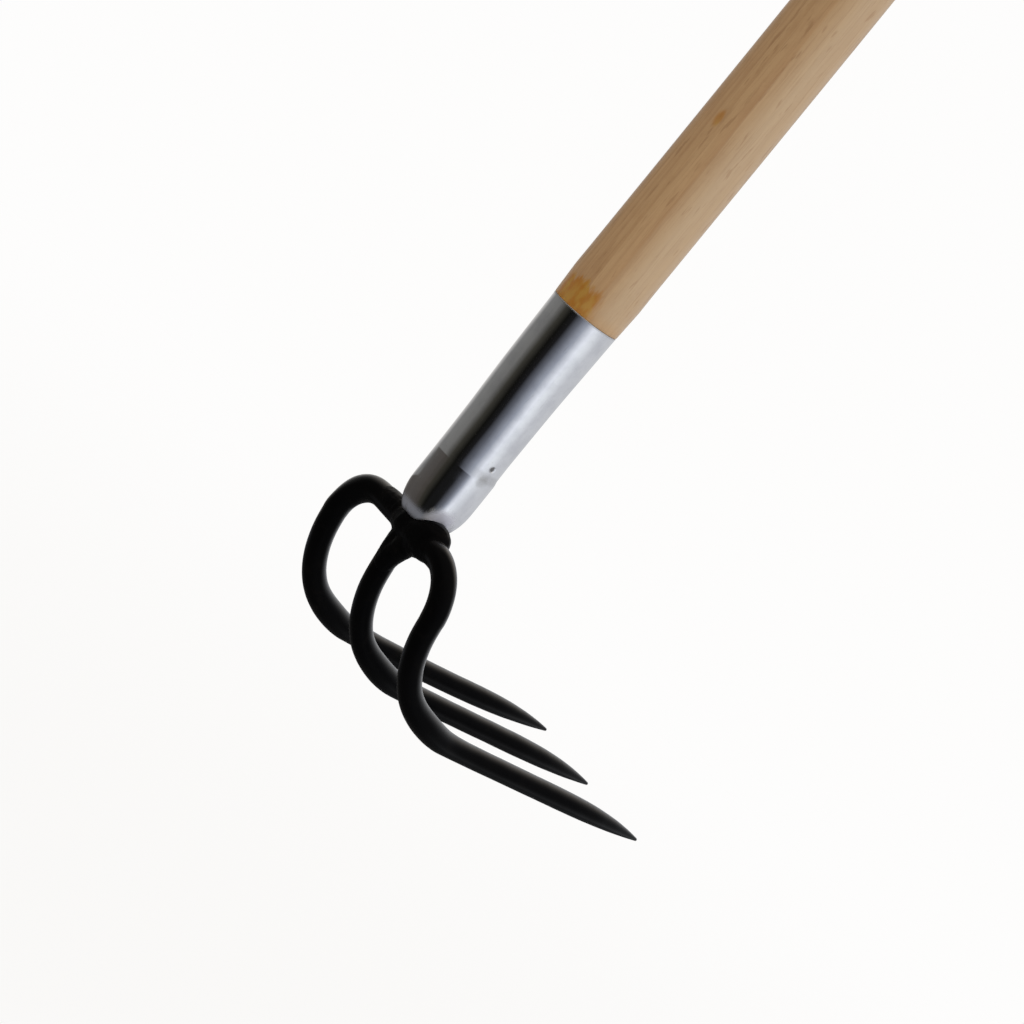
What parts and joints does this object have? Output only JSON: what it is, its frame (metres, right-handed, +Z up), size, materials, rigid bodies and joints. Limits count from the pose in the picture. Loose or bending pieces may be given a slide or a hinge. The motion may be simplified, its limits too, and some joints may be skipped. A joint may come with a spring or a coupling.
{
  "type": "three-tine soil cultivator",
  "caption": "Long-handled soil cultivator: a round wooden pole in a tapered steel ferrule, with pointed steel tines bent forward from a welded neck.",
  "frame": {"origin": "on the handle's axis in the plane of the ferrule's mouth, where the wood enters the metal and a rack's clip holds the tool", "axes": "+Z up the handle to its butt, +Y the way the tines point, +X across the tines to the right tine"},
  "size_m": [0.0828, 0.1716, 1.3533],
  "materials": {
    "varnished_wood": "thin clear varnish over straight-grained hardwood, with an amber stain beside the ferrule",
    "plated_steel": "bright plating, a little hazy and scuffed",
    "dark_steel": "dull dark steel",
    "black_paint": "black enamel over forged and welded steel"
  },
  "bodies": {
    "root": {"handle": "varnished_wood", "ferrule": "plated_steel", "ferrule_pin": "dark_steel", "tine_centre": "black_paint", "tine_left": "black_paint", "tine_right": "black_paint", "neck_weld": "black_paint"}
  },
  "joints": []
}
